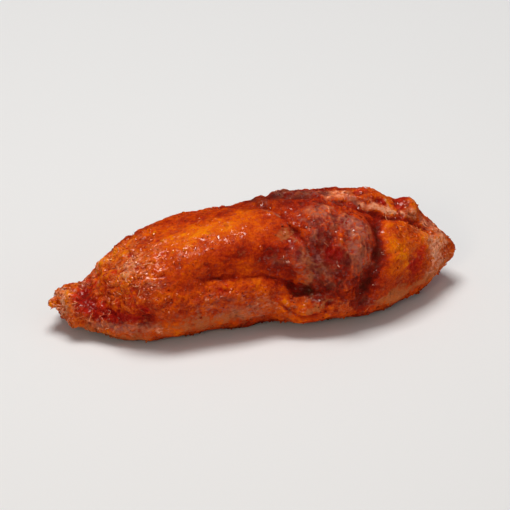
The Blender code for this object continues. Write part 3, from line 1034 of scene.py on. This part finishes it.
def make_strands(skin, material):
    """Frayed muscle fibres: lying curled on the crust and ridges, standing off the snout and rims."""
    bits = Bits(skin, 5)
    random = bits.random
    x, _, z = skin.points.T
    thick_crust = (skin.crust - 0.4).clip(0)
    light_glaze = 1 - 0.85 * smooth_step(0.52, 0.66, skin.marks["glaze"])
    behind_snout = np.exp(-((x + 40.5) / 4.5) ** 2) * (skin.marks["rough"] > 0.4)
    tail_ridges = skin.marks["mauve"] * (x > 30) + 0.5 * skin.crust * (x > 25)
    # Where each kind grows, by the place, the skin's slope there and its marks.
    weights = {
        "shoulder": thick_crust * light_glaze * (x < -20),
        "pale ridges": tail_ridges * light_glaze,
        "belt": skin.wrinkle,
        "snout's crimson": behind_snout * (skin.out[:, 1] < -0.3) * (z < 8),
        "snout's tip": (x < -48.5) * (z > 5.5) * 1.0,
        "tail's tip": (x > 46) * (z > 3) * 1.0,
        "crust's top": thick_crust * (skin.out[:, 2] > 0.2) * (z > 6),
    }
    for kind, (count, lead, spread, lengths, radii, lift, rise) in STRANDS.items():
        for vertex in bits.scatter(weights[kind], count):
            heading = Vector(np.array(lead) + random.normal(0, 1, 3) * spread)
            path = strand_path(skin, vertex, heading, random.uniform(*lengths), lift, rise, random)
            # A strand gets a thinner glaze and some painted sheen, which make it paler.
            lighter = min(random.uniform(0.0, 0.35), skin.marks["glaze"][vertex] - THINNEST_ON_STRAND)
            bits.add(vertex, *tube(path, random.uniform(*radii)),
                     glaze=-lighter, mauve=random.uniform(0.0, 0.7), wet=0.6)
    bits.make("frayed_strands", material)


def make_beads(skin, material):
    """Flat drops of glaze, which catch the light."""
    bits = Bits(skin, 6)
    random = bits.random
    points, faces = ball(2)
    weight = (0.06 + skin.crust + 0.1 * skin.wrinkle) * (skin.points[:, 2] > 1.5)
    for vertex in bits.scatter(weight, BEAD_COUNT):
        wide = random.uniform(0.20, 0.52)
        shape = points * (wide * random.uniform(1.0, 1.7), wide, wide * random.uniform(0.24, 0.36))
        bits.lay(vertex, random.normal(0, 1, 3), shape, faces,
                 glaze=random.uniform(-0.12, 0.10), wet=1.0, rough=-0.4)
    bits.make("glaze_beads", material)


def make_crumbs(skin, material):
    """Crumbs of browned crust along the hem and over the crust."""
    bits = Bits(skin, 7)
    random = bits.random
    points, faces = ball(2)
    slope = skin.out[:, 2]
    hem = ((skin.points[:, 2] < 5) & (slope > -0.8) & (slope < -0.25)) * 1.0
    kinds = (
        (hem, HEM_CRUMB_COUNT, (0.20, 0.55), 0.5),
        (skin.crust, CRUST_CRUMB_COUNT, (0.16, 0.42), 0.0),
    )
    for weight, count, sizes, most_char in kinds:
        for vertex in bits.scatter(weight, count):
            shape = lumpy(points, 0.5, random) * random.uniform(*sizes) * random.uniform(0.6, 1.3, 3)
            bits.lay(vertex, random.normal(0, 1, 3), shape, faces,
                     glaze=random.uniform(-0.1, 0.2), char=most_char * random.uniform(0.0, 1.0))
    bits.make("crust_crumbs", material)


def make_flecks(skin, material):
    """Dark flecks of spice caught in the glaze."""
    bits = Bits(skin, 8)
    random = bits.random
    points, faces = ball(1)
    weight = (0.5 + skin.crust + skin.wrinkle) * (skin.points[:, 2] > 1)
    for vertex in bits.scatter(weight, FLECK_COUNT):
        shape = lumpy(points, 0.4, random)
        shape = shape * random.uniform(0.09, 0.24) * (random.uniform(1.0, 2.2), 1.0, 0.5)
        bits.lay(vertex, random.normal(0, 1, 3), shape, faces,
                 glaze=0.3, char=random.uniform(0.0, 0.5), mauve=-1.0, tan=-1.0)
    bits.make("spice_flecks", material)


# -------- the studio

def make_floor():
    """A pale floor, which glows a little far out so that it stays pale up to the horizon."""
    bpy.ops.mesh.primitive_plane_add(size=FLOOR_SIZE)
    floor = bpy.context.object
    floor.name = "floor"
    g = Graph("pale_floor")
    away = g.node("VectorMath")
    away.operation = "LENGTH"
    g.feed(away.inputs[0], g.position)
    g.set(g.surface, Base_Color=FLOOR_TONE + (1.0,), Roughness=0.7, Specular_IOR_Level=0.2,
          Emission_Color=(1.0, 1.0, 1.0, 1.0),
          Emission_Strength=g.ramp(away.outputs["Value"], *FLOOR_GLOWS, 0.0, FAR_GLOW))
    floor.data.materials.append(g.material)
    floor.visible_glossy = False


def point_at(thing, target):
    thing.rotation_euler = (Vector(target) - thing.location).to_track_quat("-Z", "Y").to_euler()


def light_studio():
    """Adds the lamps, and pale walls that light the food less than they show."""
    for name, (location, size, power, tint, mirrored) in LAMPS.items():
        data = bpy.data.lights.new(name, "AREA")
        data.shape = "RECTANGLE"
        data.size, data.size_y = size
        data.energy = power
        data.color = tint
        lamp = add_object(name, data)
        lamp.location = location
        lamp.visible_glossy = mirrored
        lamp.visible_camera = False
        point_at(lamp, LIT_POINT)
    world = bpy.data.worlds.new("studio")
    bpy.context.scene.world = world
    world.use_nodes = True
    nodes, links = world.node_tree.nodes, world.node_tree.links
    nodes["Background"].inputs["Color"].default_value = (1, 1, 1, 1)
    path = nodes.new("ShaderNodeLightPath")
    seen = nodes.new("ShaderNodeMapRange")
    seen.inputs["To Min"].default_value = WALL_LIGHT
    seen.inputs["To Max"].default_value = WALL_LOOK
    links.new(path.outputs["Is Camera Ray"], seen.inputs["Value"])
    links.new(seen.outputs["Result"], nodes["Background"].inputs["Strength"])
    world.cycles_visibility.glossy = False


def place_camera():
    low, high = (np.array(corner) for corner in cad_box)
    middle = (low + high) / 2
    azimuth, elevation = math.radians(CAMERA_AZIMUTH), math.radians(CAMERA_ELEVATION)
    back = np.array((
        math.sin(azimuth) * math.cos(elevation),
        -math.cos(azimuth) * math.cos(elevation),
        math.sin(elevation),
    ))
    data = bpy.data.cameras.new("camera")
    data.sensor_width = SENSOR
    data.lens = SENSOR * CAMERA_DISTANCE / FRAME_WIDTH
    camera = add_object("camera", data)
    camera.location = middle + back * CAMERA_DISTANCE
    point_at(camera, middle)
    bpy.context.scene.camera = camera


TREE = frame_tree()
glazed = meat_material("glazed_meat")
wet_glaze = meat_material("wet_glaze", coat=1.0, coat_ior=1.8)
tender = make_meat(glazed)
make_strands(tender, glazed)
make_beads(tender, wet_glaze)
make_crumbs(tender, glazed)
make_flecks(tender, glazed)
make_floor()
light_studio()
place_camera()
bpy.context.scene.view_settings.view_transform = "Standard"
